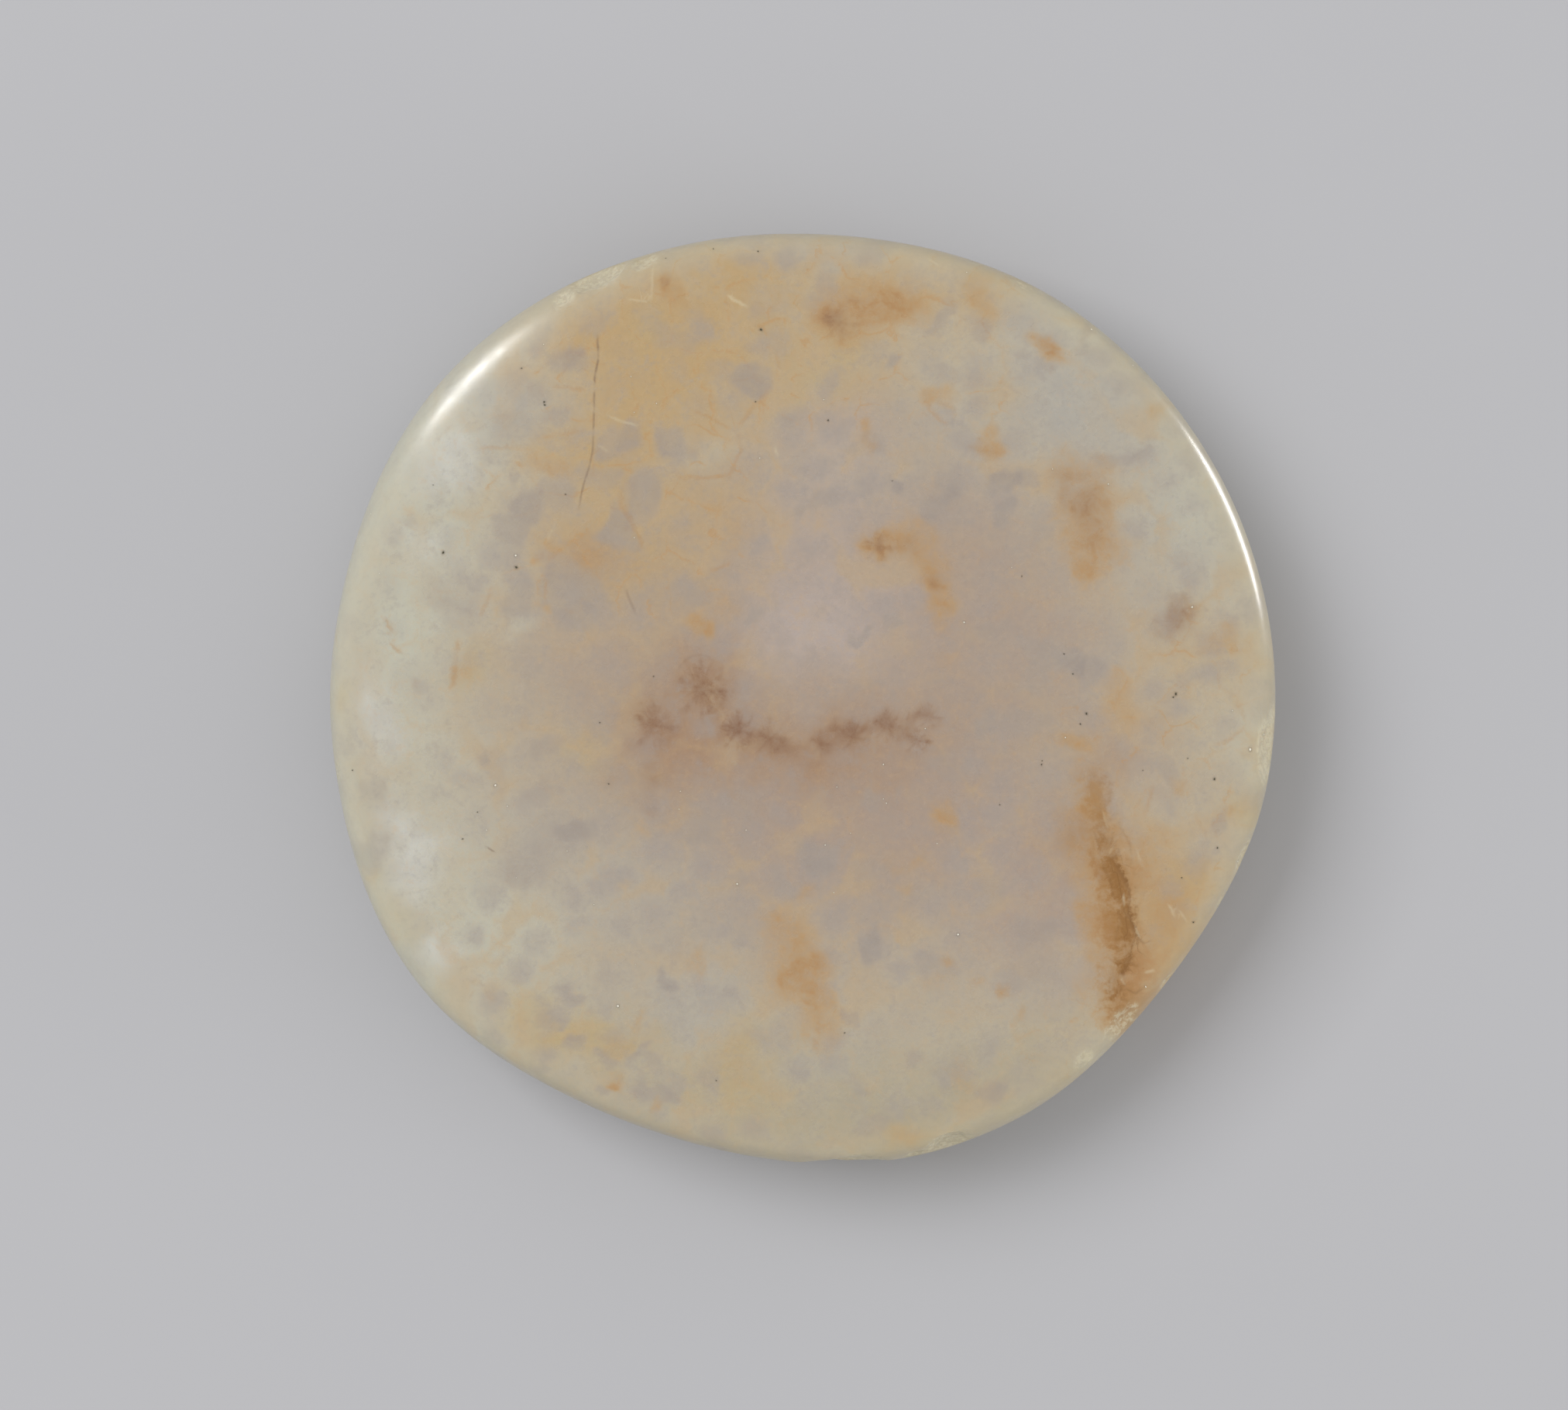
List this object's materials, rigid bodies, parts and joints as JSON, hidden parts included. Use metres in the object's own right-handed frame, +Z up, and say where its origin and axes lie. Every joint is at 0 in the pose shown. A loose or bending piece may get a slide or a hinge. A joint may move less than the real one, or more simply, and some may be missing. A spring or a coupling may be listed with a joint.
{
  "type": "flat agate bead",
  "caption": "Flat round bead of cloudy, milky agate with a polished face, rounded rim and a thread bore along its diameter.",
  "frame": {"origin": "on the flat underside, below the middle of the bead", "axes": "+Z up out of the polished face, +X along the thread bore and to the right in the picture, +Y to the top of the picture"},
  "size_m": [0.032, 0.0314, 0.0054],
  "materials": {
    "agate": "polished, milky and translucent, cloudy blue-grey and yellow with orange veins and brown stains"
  },
  "bodies": {
    "root": {"bead": "agate"}
  },
  "joints": []
}
